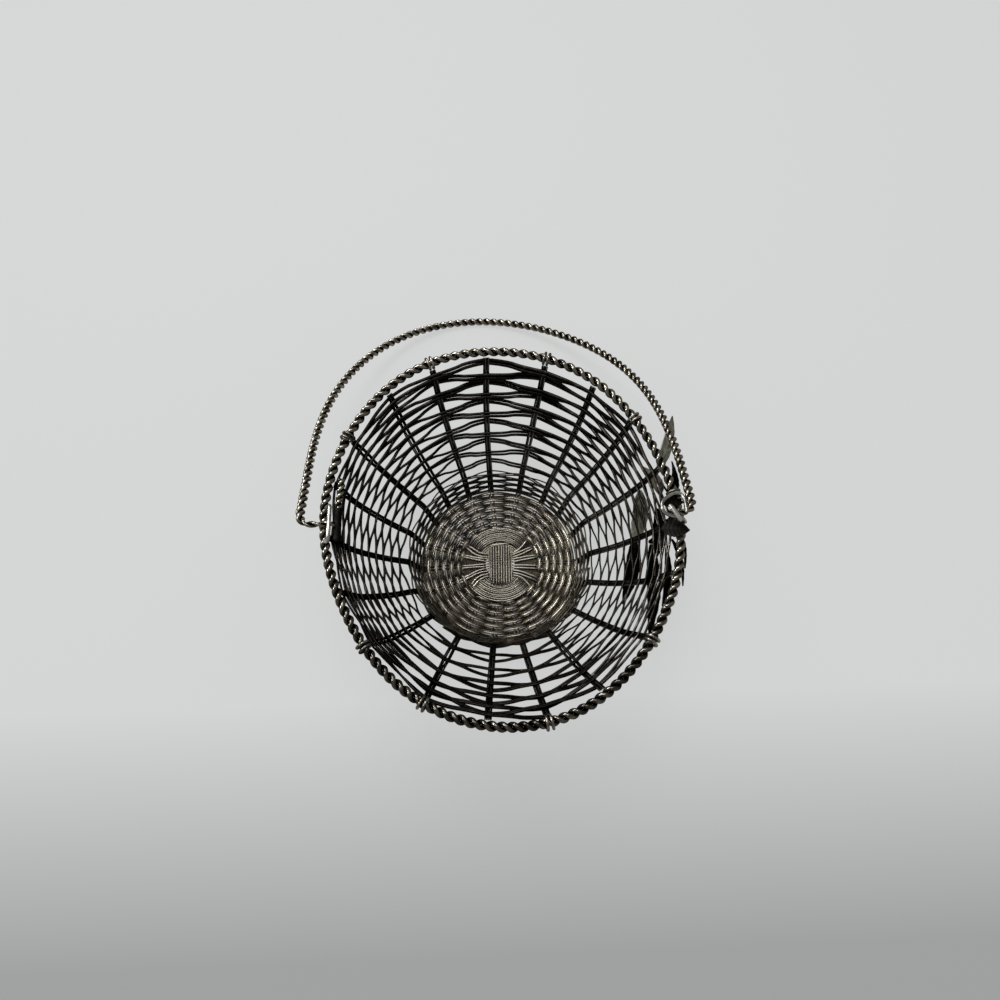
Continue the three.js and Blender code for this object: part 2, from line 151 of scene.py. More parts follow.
def smooth_curve(pts, n, closed=False):
    """n points evenly along a centripetal Catmull-Rom curve"""
    P = np.array(pts, float)
    if closed:
        P = np.concatenate([P[-1:], P, P[:2]])
    else:
        P = np.concatenate([[2 * P[0] - P[1]], P, [2 * P[-1] - P[-2]]])
    out = []
    for i in range(1, len(P) - 2):
        p0, p1, p2, p3 = P[i - 1:i + 3]
        t0 = 0.0
        t1 = t0 + max(1e-6, np.linalg.norm(p1 - p0) ** 0.5)
        t2 = t1 + max(1e-6, np.linalg.norm(p2 - p1) ** 0.5)
        t3 = t2 + max(1e-6, np.linalg.norm(p3 - p2) ** 0.5)
        t = np.linspace(t1, t2, 24, endpoint=False)[:, None]
        a1 = (t1 - t) / (t1 - t0) * p0 + (t - t0) / (t1 - t0) * p1
        a2 = (t2 - t) / (t2 - t1) * p1 + (t - t1) / (t2 - t1) * p2
        a3 = (t3 - t) / (t3 - t2) * p2 + (t - t2) / (t3 - t2) * p3
        b1 = (t2 - t) / (t2 - t0) * a1 + (t - t0) / (t2 - t0) * a2
        b2 = (t3 - t) / (t3 - t1) * a2 + (t - t1) / (t3 - t1) * a3
        out.append((t2 - t) / (t2 - t1) * b1 + (t - t1) / (t2 - t1) * b2)
    out = np.concatenate(out + [P[-2:-1]])
    s = np.concatenate([[0], np.cumsum(np.linalg.norm(np.diff(out, axis=0), axis=1))])
    q = np.linspace(0, s[-1], n, endpoint=not closed)
    return np.stack([np.interp(q, s, out[:, k]) for k in range(out.shape[1])], -1)


# ---------------------------------------------------------------- mesh building
class Wires:
    """Collects round wires into one mesh, with a value at each vertex for wear and for painted highlight and shade."""

    def __init__(self):
        self.v, self.f, self.w, self.n = [], [], [], 0

    def tube(self, P, r, sides=8, closed=False, wear_and_light=0.5, axis=None, axis_r=1.0, flat=None, ends="round"):
        P = np.asarray(P, float)
        m = count = len(P)
        nxt = np.roll(P, -1, 0) if closed else np.concatenate([P[1:], P[-1:]])
        prv = np.roll(P, 1, 0) if closed else np.concatenate([P[:1], P[:-1]])
        T = nxt - prv
        T /= np.linalg.norm(T, axis=1)[:, None]
        U = np.zeros_like(P)
        if flat is not None:                 # flat: direction that the section's first axis follows
            F = np.broadcast_to(np.asarray(flat[0], float), P.shape)
            U = F - (F * T).sum(1)[:, None] * T
            U /= np.linalg.norm(U, axis=1)[:, None]
            fu, fv = flat[1], flat[2]
        else:
            a = np.array([0, 0, 1.0]) if abs(T[0, 2]) < 0.8 else np.array([1.0, 0, 0])
            u = a - a.dot(T[0]) * T[0]
            U[0] = u / np.linalg.norm(u)
            for i in range(1, m):
                u = U[i - 1] - U[i - 1].dot(T[i]) * T[i]
                U[i] = u / math.sqrt(u.dot(u))
            if closed:                       # spread the closing twist along the loop
                u = U[-1] - U[-1].dot(T[0]) * T[0]
                u /= np.linalg.norm(u)
                ang = math.atan2(np.dot(np.cross(u, U[0]), T[0]), u.dot(U[0]))
                a = ang * np.arange(m) / m
                U = U * np.cos(a)[:, None] + np.cross(T, U) * np.sin(a)[:, None]
            fu = fv = 1.0
        V = np.cross(T, U)
        R = np.broadcast_to(np.asarray(r, float), (m,)).copy()
        reach = np.broadcast_to(np.asarray(axis_r, float), (m,))
        if not closed and ends == "round":   # domed ends
            def dome(i, sign):
                c = [(0.35, 0.93), (0.62, 0.74), (0.8, 0.42)]
                return (np.array([P[i] + sign * T[i] * R[i] * a for a, _ in c]), np.array([R[i] * b for _, b in c]))
            p0, r0 = dome(0, -1)
            p1, r1 = dome(m - 1, 1)
            P = np.concatenate([p0[::-1], P, p1])
            R = np.concatenate([r0[::-1], R, r1])
            U = np.concatenate([np.repeat(U[:1], 3, 0), U, np.repeat(U[-1:], 3, 0)])
            V = np.concatenate([np.repeat(V[:1], 3, 0), V, np.repeat(V[-1:], 3, 0)])
            if axis is not None:
                A = np.asarray(axis, float)
                axis = np.concatenate([np.repeat(A[:1], 3, 0), A, np.repeat(A[-1:], 3, 0)])
                reach = np.concatenate([np.repeat(reach[:1], 3), reach, np.repeat(reach[-1:], 3)])
            m = len(P)
        c = 2 * np.pi * np.arange(sides) / sides
        X = (P[:, None, :] + U[:, None, :] * (R[:, None] * fu * np.cos(c)[None])[:, :, None]
             + V[:, None, :] * (R[:, None] * fv * np.sin(c)[None])[:, :, None])
        if axis is not None:                 # rubbed where the strand stands out furthest from the rope's middle
            w = np.clip((np.linalg.norm(X - np.asarray(axis)[:, None, :], axis=2) / reach[:, None] - 0.35) / 0.6, 0, 1)
        else:
            w = np.broadcast_to(np.asarray(wear_and_light, float), (count,))
            w = np.concatenate([np.repeat(w[:1], (m - count) // 2), w, np.repeat(w[-1:], (m - count) // 2)])
            w = np.repeat(w[:, None], sides, 1)
        X = X.reshape(-1, 3)
        base = self.n
        i = np.arange(m if closed else m - 1)[:, None]
        j = np.arange(sides)[None]
        i2, j2 = (i + 1) % m, (j + 1) % sides
        quads = np.stack([i * sides + j, i * sides + j2, i2 * sides + j2, i2 * sides + j], -1).reshape(-1, 4) + base
        self.v.append(X)
        self.w.append(np.asarray(w).reshape(-1))
        self.f.extend(quads.tolist())
        self.n += len(X)
        if not closed:
            self.f.append((base + np.arange(sides)[::-1]).tolist())
            self.f.append((base + (m - 1) * sides + np.arange(sides)).tolist())

    def object(self, name, material, body, nodes, smooth=True):
        v = np.concatenate(self.v) * 0.001
        mesh = bpy.data.meshes.new(name)
        mesh.from_pydata(v.tolist(), [], self.f)
        a = mesh.attributes.new("wear_and_light", "FLOAT", "POINT")
        a.data.foreach_set("value", np.concatenate(self.w).astype(np.float32))
        mesh.polygons.foreach_set("use_smooth", [smooth] * len(mesh.polygons))
        mesh.update()
        mesh.materials.append(material)
        o = bpy.data.objects.new(name, mesh)
        bpy.context.scene.collection.objects.link(o)
        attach(o, body)
        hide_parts(*nodes)
        return o


# ---------------------------------------------------------------- materials
def metal(name, dark, mid, light, rough, grain=900.0, patches=90.0, wear=0.6, bump=0.25, shine=1.0, blotch=1.5, speck=0.9):
    """aged metal: dark oxide in the hollows and in blotches, paler rubbed crowns, fine scratches; the value at each
    vertex that picks the tone also carries painted highlight and painted shade
    """
    m = bpy.data.materials.new(name)
    m.use_nodes = True
    t = m.node_tree
    t.nodes.clear()
    N, L = t.nodes.new, t.links.new
    out = N("ShaderNodeOutputMaterial")
    p = N("ShaderNodeBsdfPrincipled")
    L(p.outputs["BSDF"], out.inputs["Surface"])
    p.inputs["Metallic"].default_value = shine
    p.inputs["Specular IOR Level"].default_value = 0.5
    p.inputs["Specular Tint"].default_value = (0.25, 0.24, 0.22, 1)   # oxide keeps the edges of each wire dark
    co = N("ShaderNodeTexCoord")

    def noise(scale, detail, rough_=0.55):
        n = N("ShaderNodeTexNoise")
        n.inputs["Scale"].default_value = scale
        n.inputs["Detail"].default_value = detail
        n.inputs["Roughness"].default_value = rough_
        L(co.outputs["Object"], n.inputs["Vector"])
        return n

    def math_(op, a, b=None, clamp=False):
        n = N("ShaderNodeMath")
        n.operation = op
        n.use_clamp = clamp
        for k, x in enumerate((a, b)):
            if x is None:
                continue
            if isinstance(x, (int, float)):
                n.inputs[k].default_value = x
            else:
                L(x, n.inputs[k])
        return n.outputs[0]

    att = N("ShaderNodeAttribute")
    att.attribute_name = "wear_and_light"
    big, mid_n, fine = noise(patches, 3.0), noise(grain * 0.35, 4.0), noise(grain, 3.0, 0.65)
    # how rubbed, with painted highlight and shade: the wire's own value, broken up by blotches and grain
    w = math_("ADD", math_("MULTIPLY", att.outputs["Fac"], wear), math_("MULTIPLY", math_("SUBTRACT", big.outputs["Fac"], 0.5), blotch))
    w = math_("ADD", w, math_("MULTIPLY", math_("SUBTRACT", mid_n.outputs["Fac"], 0.5), speck), clamp=True)
    ramp = N("ShaderNodeValToRGB")
    e = ramp.color_ramp.elements
    e[0].position, e[0].color = 0.05, (*dark, 1)
    e[1].position, e[1].color = 0.85, (*light, 1)
    k = e.new(0.42)
    k.color = (*mid, 1)
    L(w, ramp.inputs["Fac"])
    L(ramp.outputs["Color"], p.inputs["Base Color"])
    rr = N("ShaderNodeMapRange")
    rr.inputs["From Min"].default_value, rr.inputs["From Max"].default_value = 0.25, 0.75
    rr.inputs["To Min"].default_value, rr.inputs["To Max"].default_value = rough[0], rough[1]
    mix = math_("ADD", math_("MULTIPLY", fine.outputs["Fac"], 0.5), math_("MULTIPLY", big.outputs["Fac"], 0.5))
    L(mix, rr.inputs["Value"])
    L(rr.outputs["Result"], p.inputs["Roughness"])
    b = N("ShaderNodeBump")
    b.inputs["Strength"].default_value = bump
    b.inputs["Distance"].default_value = 0.00012
    L(math_("ADD", fine.outputs["Fac"], math_("MULTIPLY", mid_n.outputs["Fac"], 0.8)), b.inputs["Height"])
    L(b.outputs["Normal"], p.inputs["Normal"])
    return m


WALL = metal("wall_wire_metal", (0.007, 0.006, 0.005), (0.022, 0.020, 0.0175), (0.15, 0.141, 0.124), (0.17, 0.30), blotch=1.1, bump=0.15)
COLLAR = metal("collar_wire_metal", (0.012, 0.0105, 0.008), (0.050, 0.044, 0.0345), (0.18, 0.166, 0.14), (0.22, 0.36), blotch=1.0, bump=0.12)
STAKE_M = metal("stake_wire_metal", (0.009, 0.008, 0.007), (0.026, 0.024, 0.021), (0.16, 0.15, 0.135), (0.30, 0.46), blotch=0.9, speck=0.4, bump=0.1)
ROPE = metal("rope_wire_metal", (0.008, 0.007, 0.0052), (0.052, 0.046, 0.0365), (0.245, 0.225, 0.185), (0.14, 0.26), wear=0.75, blotch=1.0, bump=0.15)
BRIGHT = metal("rubbed_wire_metal", (0.12, 0.115, 0.10), (0.34, 0.33, 0.30), (0.62, 0.60, 0.56), (0.18, 0.36))
TIE = metal("tie_wire_metal", (0.03, 0.027, 0.022), (0.15, 0.14, 0.12), (0.42, 0.40, 0.35), (0.20, 0.34), bump=0.12)
BASE = metal("base_wire_metal", (0.032, 0.027, 0.0196), (0.110, 0.095, 0.0715), (0.47, 0.44, 0.38), (0.20, 0.34), wear=0.95, blotch=0.35, speck=0.12, bump=0.04)
DARK = metal("sleeve_metal", (0.008, 0.0075, 0.007), (0.018, 0.016, 0.015), (0.05, 0.046, 0.042), (0.40, 0.65))
LEAF_M = metal("leaf_metal", (0.07, 0.068, 0.053), (0.25, 0.242, 0.195), (0.50, 0.485, 0.40), (0.34, 0.6), grain=700.0, patches=60.0)
# painted shade: darker copies of the leaf metal, for the leaves, stem and branch that lie in shade
LEAF_DEEP_SHADE = metal("leaf_metal_painted_deep_shade", (0.006, 0.0056, 0.005), (0.012, 0.011, 0.010), (0.03, 0.028, 0.025), (0.45, 0.65), grain=700.0, patches=60.0)
LEAF_SHADED = metal("leaf_metal_painted_shade", (0.003, 0.0027, 0.0024), (0.007, 0.0064, 0.0056), (0.026, 0.024, 0.021), (0.45, 0.65), grain=700.0, patches=60.0)

# ---------------------------------------------------------------- stakes and the spokes that they grow from
SPOKE_Z = 1.45


def rise(az):
    """radius and height of a stake's line from the hub outwards and up to the wall"""
    return smooth_curve([[25.0, 0.9], [29, 1.25], [34, SPOKE_Z], [40, SPOKE_Z], [46, SPOKE_Z], [48.9, 1.5], [50.25, 2.0], [50.95, 3.4], [51.3, 5.0]], 34)


SLITS = {7: (0.28, 50, 112), 8: (0.40, 92, 112), 9: (0.38, 100, 114), 12: (0.28, 60, 112), 13: (0.34, 52, 78), 4: (0.2, 60, 80), 16: (0.25, 60, 90)}
# painted light and shade: the stakes at the back and back right are made lighter and those at the left darker, as the
# light falls on them
STAKE_PAINTED_LIGHT = [0.9, 1.1, 1.25, 1.25, 1.25, 1.25, 1.1, 0.8, 0.5, 0.4, 0.4, 0.4, 0.5, 0.8, 0.9, 0.9, 0.9, 0.8, 0.8]
for i in range(STAKES):
    w = Wires()
    top = 78.9 if i in TIED else 79.85       # up to the tie, or up against the rope
    z = np.linspace(6.0, top, 52)
    az = stake_az(i, z)
    r, n, t = wall_frame(az, z)
    foot = rise(az)
    rr = np.concatenate([foot[:, 0], r])
    zz = np.concatenate([foot[:, 1], z])
    aa = np.concatenate([np.full(len(foot), az[0]), az])
    d = np.gradient(np.stack([rr, zz], 1), axis=0)
    d /= np.linalg.norm(d, axis=1)[:, None]
    nr, nz = d[:, 1], -d[:, 0]
    s = np.concatenate([[0], np.cumsum(np.hypot(np.diff(rr), np.diff(zz)))])
    across = np.stack([-np.sin(aa), np.cos(aa), 0 * aa], 1)
    out = np.stack([nr * np.cos(aa), nr * np.sin(aa), nz], 1)
    C = np.stack([rr * np.cos(aa), rr * np.sin(aa), zz], 1)
    join = np.clip((s - 19) / 7.0, 0, 1)
    join = join * join * (3 - 2 * join)
    parted, s0, s1 = SLITS.get(i, (0.0, 60, 100))   # how far, and where, the two halves of a stake part
    slit = parted * np.clip((s - s0) / 6, 0, 1) * np.clip((s1 - s) / 6, 0, 1) * (0.8 + 0.2 * np.sin(s * 0.3 + i))
    for j, (foot_x, wall_x) in enumerate(((-1.0, -0.48), (1.0, 0.48), (None, -1.43), (None, 1.43))):
        o = (wall_x if foot_x is None else foot_x + (wall_x - foot_x) * join)
        o = o + wander(len(s), 0.05, 100 + 7 * i + j, 1.1) + (slit if wall_x > 0 else -slit)
        k = wander(len(s), 0.06, 300 + 7 * i + j, 0.9)
        P = C + across * np.broadcast_to(o, (len(s),))[:, None] + out * k[:, None]
        if foot_x is None:
            P = P[int(np.searchsorted(s, 20.5)):]
        w.tube(P, 0.5, 8, wear_and_light=STAKE_PAINTED_LIGHT[i] * (0.45, 1.0, 1.1, 0.5)[j])
    w.object("stake_%02d_wires" % (i + 1), STAKE_M, "basket", ["stake_%02d" % (i + 1)])


# ---------------------------------------------------------------- weavers
# a round is counted from the fifth stake; in these gaps one wire of the pair passes two stakes on one side
SKIPS = [2, 8, 12, 18]


def weave(k0, k1, height, r, sides=8, per=8, gap=0.2, seed=0, chord=0.6, w=None, drift=0.2, pitch=6.57, opened=1.0, grouped=1.5):
    """a pair of wires in and out of the stakes; k counts half-steps, even at a stake.
    Towards the back and the front both wires go the same way; at the sides they go opposite ways, evenly spaced"""
    ks = np.linspace(k0, k1, int((k1 - k0) * per) + 1)
    z = height(ks / (2 * STAKES))
    i0 = np.floor(ks / 2).astype(int)
    f = ks / 2 - i0
    a = np.array([float(stake_az(int(i), zz)) for i, zz in zip(i0, z)])
    b = np.array([float(stake_az(int(i) + 1, zz)) for i, zz in zip(i0, z)])
    th = a + f * (b - a)
    h = (b - a) / 2
    sag = chord * (1 - np.cos(h) / np.cos((f - 0.5) * 2 * h))
    q = np.random.RandomState(seed)
    span = np.maximum(0, i0 - i0.min())
    open_ = q.uniform(0.0, 1.0, span.max() + 2) ** 1.6 * gap
    lift = wander(len(ks), drift, seed + 5, 0.12)
    # the side parts, where the two wires are parted
    slot, round_ = (i0 - 4) % STAKES, (i0 - 4) // STAKES
    whole = np.array([sum(1 for k in SKIPS if k < i) for i in slot])
    passed = whole + np.where(np.isin(slot, SKIPS), f, 0.0)
    ease = np.where(np.isin(slot, SKIPS), f * f * (3 - 2 * f), 0.0)
    side_part = np.clip(np.where(whole % 2 == 0, ease, 1 - ease) * opened + (opened - 1), 0, 1)
    # rows lie closer in twos at the front
    turn = np.floor(ks / (2 * STAKES) + 1e-6).astype(int)
    front = np.clip((np.cos(th - np.radians(270)) - 0.80) / 0.14, 0, 1)
    front = front * front * (3 - 2 * front)
    far = np.clip((np.cos(th - np.radians(92)) - 0.70) / 0.2, 0, 1) * min(1.0, grouped)
    lift = lift + grouped * np.where(turn % 2 == 0, 1.0, -1.0) * front
    # the wires are finer at the right, along the front and near the rim at the sides, and a little thicker at the back
    behind = np.clip((np.sin(th) - 0.30) / 0.3, 0, 1)
    stout = 0.10 * behind + 0.14 * np.clip((np.cos(th - np.radians(48)) - 0.80) / 0.15, 0, 1)
    wide = np.clip((np.cos(th - np.radians(262)) - 0.35) / 0.4, 0, 1)
    east = np.clip((np.cos(th + np.radians(22)) - 0.70) / 0.2, 0, 1)
    crowded = np.clip((np.cos(th - np.radians(216)) - 0.84) / 0.1, 0, 1) * np.clip((z - 50) / 10, 0, 1)
    fine = np.maximum(np.maximum(np.maximum(0.22 * wide, 0.32 * east), 0.38 * crowded), 0.24 * side_part * np.clip((z - 24) / 30, 0, 1) * (1 - behind)) - stout
    R = np.broadcast_to(r(z), (len(ks),)) * (1 - min(1.0, grouped) * np.where(front > 0, np.maximum(fine, 0.30 * front * np.clip((56 - z) / 14, 0, 1)), fine))
    top = 1 - 0.35 * np.clip((z - 52) / 12, 0, 1) * min(1.0, grouped)
    for sign in (-1, 1):
        skips = (round_ % 2 == 0) == (sign < 0)
        if opened > 1:                       # all round: the two wires always go opposite ways
            c = np.cos(np.pi * ks / 2 + (np.pi if sign < 0 else 0.0))
        else:
            c = np.cos(np.pi * ks / 2 - np.pi * passed * skips)
        amp = 0.475 + R + 0.08
        off = -amp * np.sign(c) * np.abs(c) ** 0.8
        closed_half = R + 0.04 + open_[span] * np.sin(np.pi * f) ** 2
        half = closed_half * (1 - side_part) + pitch / 4 * side_part * top
        part = np.interp(z, [21, 25, 50, 73], [0.0, 0.75, 0.45, -0.25]) * side_part * np.sign(c) * np.abs(c) ** 0.6
        part = part + 0.8 * far * (1 - side_part) * np.sign(c) * np.abs(c) ** 0.6
        P = wall_xyz(th, z, off + wander(len(ks), 0.05, seed + 11 + sign, 0.3), lift + sign * half - part, sag)
        # painted highlight: the wires at the right near the rim are made lighter where glints fall; painted shade: the
        # wires along the front are made darker
        w.tube(P, R, sides, wear_and_light=0.38 + (0.36 * east * np.clip((z - 54) / 8, 0, 1) - 0.23 * wide) * min(1.0, grouped))


TURN_K = 2 * STAKES
wall_height = lambda t: slope_z(np.minimum(70.9, 4.9 + (t - 0.263) * ROW_PITCH))
wall_wire_r = lambda z: 0.70 + 0.28 * np.clip((z - 24) / 36, 0, 1)
collar_wire_r = lambda z: 0.47 + 0 * z
collar_height = lambda t: 2.55 + (t / COLLAR_TURNS) * 18.4
cuts = [-13, 4 * TURN_K - 1, 8 * TURN_K - 1, WALL_ROWS * TURN_K - 8]
w = Wires()
weave(1, COLLAR_TURNS * TURN_K - 1, collar_height, collar_wire_r, sides=8, per=6, gap=0.1, seed=20, w=w, drift=0.12,
      pitch=2.76, opened=2.0, grouped=0.0)
w.object("collar_weave_wires", COLLAR, "basket", ["collar_weaver"])
for j, name in enumerate(("lower", "middle", "upper")):
    w = Wires()
    weave(cuts[j], cuts[j + 1], wall_height, wall_wire_r, seed=30 + j, w=w)
    w.object("wall_weave_%s_wires" % name, WALL, "basket", ["wall_weaver_" + name])

# ---------------------------------------------------------------- base weave: three fine wires a row, over and under the spokes
w = Wires()
BASE_ROWS = 10
R0, R1 = 25.7, 49.7
MID = np.array([0.4, -1.7])                       # middle of the bound cross's rounds
ks = np.linspace(-TURN_K, BASE_ROWS * TURN_K, (BASE_ROWS + 1) * TURN_K * 5 + 1)   # the first round lies level, then a spiral
i0 = np.floor(ks / 2).astype(int)
f = ks / 2 - i0
a = np.array([float(stake_az(int(i), 0.0)) for i in i0])
b = np.array([float(stake_az(int(i) + 1, 0.0)) for i in i0])
th = a + f * (b - a)
c = np.cos(np.pi * ks / 2)
pitch = (R1 - R0) / BASE_ROWS
for wire in range(3):
    rad = R0 + np.where(ks < 0, -0.4, (ks / TURN_K) * pitch) + (wire - 1) * 0.80
    inner = np.clip((46 - rad) / 18, 0, 1)        # the inner rows lie round the cross's own middle
    rad = rad + wander(len(ks), 0.09, 60 + wire, 0.35)
    h = (b - a) / 2
    rad = rad * (1 - 0.35 * (1 - np.cos(h) / np.cos((f - 0.5) * 2 * h)))
    z = 1.5 + 0.88 * np.sign(c) * np.abs(c) ** 0.75 + wander(len(ks), 0.06, 70 + wire, 0.4)
    P = np.stack([rad * np.cos(th) + inner * MID[0], rad * np.sin(th) + inner * MID[1], z], 1)
    crown_highlight = np.clip(1.25 * c + 0.15, 0, 1)        # painted highlight: made bright where the row rises over a spoke, the middle wire most; the whole row is also made darker towards the front
    w.tube(P, 0.42, 8, wear_and_light=(0.26 + (0.85 if wire == 1 else 0.2) * crown_highlight) * (1 - 0.22 * np.clip(-np.sin(th), 0, 1)))
around = np.linspace(0, 2 * np.pi, 153)[:-1]
for j in range(BASE_ROWS + 1):                    # under the rows, closing the gaps between them, in the darkest tone as painted shade
    rad = R0 - 1.2 + pitch * j + 0.1 * np.sin(5 * around + j)
    inner = np.clip((46 - rad) / 18, 0, 1)
    w.tube(np.stack([rad * np.cos(around) + inner * MID[0], rad * np.sin(around) + inner * MID[1], 0.62 + 0 * around], 1), 0.5, 6, closed=True, wear_and_light=0.0)
for rad, z in ((49.75, 2.2), (50.0, 3.1)):        # two rounds in the corner at the foot of the wall
    rad = rad + 0.12 * np.cos(STAKES * around)
    w.tube(np.stack([rad * np.cos(around), rad * np.sin(around), z + 0.1 * np.sin(3 * around)], 1), 0.46, 7, closed=True, wear_and_light=0.15)
w.object("base_weave_wires", BASE, "basket", ["base_weave"])

# ---------------------------------------------------------------- base binding: fine rounds over one bundle and under the other
w = Wires()
th = np.linspace(0, 2 * np.pi, 145)[:-1]
for j in range(13):
    rad = 9.6 + j * 1.22
    over = np.clip((np.abs(np.sin(th)) - 0.42) / 0.42, 0, 1) * (rad > 14.9)
    over = over * over * (3 - 2 * over)
    wob = 1 + 0.005 * np.sin(3 * th + 2.1 * j)
    z = 0.95 + 2.0 * over + 0.05 * np.sin(5 * th + 1.7 * j) * (rad > 14.9)
    P = np.stack([MID[0] + rad * wob * np.cos(th), MID[1] + rad * wob * np.sin(th), z], 1)
    # painted highlight and shade: the rounds are made lighter in the sectors where they ride over the bundle and darker
    # where they lie under the other, with some random change from round to round
    w.tube(P, 0.36, 8, closed=True, wear_and_light=0.08 + (0.62 + 0.3 * ((j * 7) % 5) / 4) * np.clip((np.abs(np.sin(th)) - 0.42) / 0.3, 0, 1))
    P = np.stack([MID[0] + (rad + 0.61) * np.cos(th), MID[1] + (rad + 0.61) * np.sin(th), z - 0.52], 1)
    w.tube(P, 0.38, 6, closed=True, wear_and_light=-0.3)    # painted shade: the darker wires between and below
    # painted shade: a darkest round beneath each gap
    P = np.stack([MID[0] + (rad + 0.61) * np.cos(th), MID[1] + (rad + 0.61) * np.sin(th), 0.66 + 0 * th], 1)
    w.tube(P, 0.64, 6, closed=True, wear_and_light=0.0)
w.object("base_binding_wires", BASE, "basket", ["base_binding"])

# ---------------------------------------------------------------- base cross
w = Wires()
NS = [((-6.9, 7.9), (-6.2, -11.0)), ((-5.2, 10.6), (-5.6, -13.0)), ((-3.6, 10.8), (-4.1, -15.1)), ((-2.0, 10.8), (-2.4, -15.8)),
      ((-0.1, 10.8), (-0.8, -15.9)), ((1.6, 10.8), (0.9, -15.9)), ((3.1, 10.8), (2.4, -16.0)), ((4.8, 10.6), (4.0, -15.4)),
      ((6.4, 10.2), (5.8, -14.8)), ((7.8, 8.6), (7.4, -14.0))]
for j, ((xa, ya), (xb, yb)) in enumerate(NS):
    y = np.linspace(ya, yb, 30)
    x = np.interp(np.linspace(0, 1, 30), [0, 1], [xa, xb]) + wander(30, 0.06, 400 + j, 1.2)
    e = np.minimum(np.abs(y - 11.5), np.abs(y + 16.0))
    z = 3.42 - 1.0 * np.clip(1 - e / 1.6, 0, 1) ** 1.5
    w.tube(np.stack([x, y, z], 1), 0.46, 10, wear_and_light=0.60)
for (na, nb) in zip(NS[:-1], NS[1:]):             # painted shade: dark wires lie lower in the gaps
    ya, yb = min(na[0][1], nb[0][1]) - 1.3, max(na[1][1], nb[1][1]) + 1.3
    y = np.linspace(ya, yb, 24)
    x = np.interp(np.linspace(0, 1, 24), [0, 1], [(na[0][0] + nb[0][0]) / 2, (na[1][0] + nb[1][0]) / 2])
    w.tube(np.stack([x, y, 3.02 + 0 * y], 1), 0.34, 8, wear_and_light=-0.5)
for (xa, ya), (xb, yb) in (((-5.6, 10.9), (6.4, 12.0)),):   # a straight wire across the far end
    x = np.linspace(xa, xb, 24)
    w.tube(np.stack([x, np.interp(x, [xa, xb], [ya, yb]), 3.35 - 0.5 * np.abs(np.linspace(-1, 1, 24)) ** 4], 1), 0.5, 8, wear_and_light=0.9)
w.object("base_cross_ns_wires", BASE, "basket", ["base_cross_ns"])

w = Wires()
EW = [[(-24.2, 14.2), (-21.5, 12.9), (-19.0, 10.9), (-15.7, 8.4), (-12.5, 6.4), (-8.0, 5.5), (0, 5.4), (8.3, 5.6), (12.4, 7.6), (16.0, 10.8), (19.0, 15.0)],
      [(-25.0, 12.8), (-23.5, 12.0), (-20.3, 9.4), (-17.1, 6.3), (-12.6, 4.2), (-8.0, 3.6), (0, 3.6), (8.3, 4.3), (13.6, 6.3), (19.0, 8.4), (22.3, 10.0), (26.0, 12.3)],
      [(-24.0, 5.6), (-21.7, 4.9), (-15.9, 3.4), (-8.1, 2.2), (0, 2.2), (8.2, 2.8), (13.5, 4.2), (18.9, 6.7), (23.6, 9.0)],
      [(-24.0, 4.1), (-21.7, 3.5), (-14.6, 1.7), (-8.1, 0.5), (0, 0.8), (8.2, 1.3), (13.4, 2.2), (18.7, 3.0), (23.3, 3.3), (25.5, 3.4)],
      [(-25.0, -2.2), (-22.5, -2.1), (-9.5, -1.4), (0, -1.0), (8.1, -0.5), (13.3, 0.4), (18.6, 1.2), (24.5, 2.2)],
      [(-25.0, -3.7), (-22.8, -3.5), (-9.5, -3.0), (0, -2.8), (8.0, -2.6), (22.9, -3.4), (26.0, -3.6)],
      [(-26.5, -11.7), (-19.3, -8.0), (-14.1, -5.6), (-9.6, -4.6), (0, -4.5), (8.0, -4.3), (22.0, -5.3), (28.0, -5.8)],
      [(-25.9, -13.2), (-19.4, -9.8), (-14.1, -7.3), (-9.6, -6.3), (0, -6.1), (7.9, -5.9), (11.8, -6.5), (16.2, -8.0), (22.5, -10.8), (24.5, -11.8)],
      [(-18.3, -14.4), (-16.2, -11.7), (-12.9, -9.2), (-8.4, -8.0), (0, -7.8), (7.8, -7.7), (12.9, -8.8), (17.4, -10.7), (22.4, -12.9), (24.0, -13.7)],
      [(-17.2, -16.0), (-14.3, -12.7), (-11.7, -10.9), (-8.4, -9.7), (0, -9.4), (7.7, -9.3), (11.6, -10.1), (15.4, -12.4), (19.0, -16.9), (22.4, -21.0)]]
for j, pts in enumerate(EW):
    P = smooth_curve([(x, y, 0) for x, y in pts], 60)
    x = np.abs(P[:, 0] - HUB[0])
    e = np.hypot(P[:, 0] - HUB[0], P[:, 1] - HUB[1])
    up_ = np.clip((x - 8.5) / 3.5, 0, 1)
    up_ = up_ * up_ * (3 - 2 * up_)
    down = np.clip((e - 22.5) / 3.5, 0, 1)
    P[:, 2] = 2.1 + 0.25 * up_ - 0.9 * down * down
    # painted shade: darker where the wires lie under the other bundle, lighter beyond it
    w.tube(P, 0.55, 10, wear_and_light=0.05 + 0.75 * np.clip((x - 7.2) / 1.4, 0, 1))
w.object("base_cross_ew_wires", BASE, "basket", ["base_cross_ew"])


# ---------------------------------------------------------------- rim rope
def rope(w, C, Nn, B, lay, strand=1.33, offset=1.36, sides=14, closed=False, reach=1.0):
    """two strands laid round the line C; lay is the angle of the first strand at each point; a reach over 1 lowers the
    strands' wear-and-light value, so they come out darker, as painted shade
    """
    strand, offset = np.broadcast_to(strand, (len(C),)), np.broadcast_to(offset, (len(C),))
    for s in (0, np.pi):
        P = C + offset[:, None] * (Nn * np.cos(lay + s)[:, None] + B * np.sin(lay + s)[:, None])
        w.tube(P, strand, sides, closed=closed, axis=C, axis_r=(offset + strand) * reach)


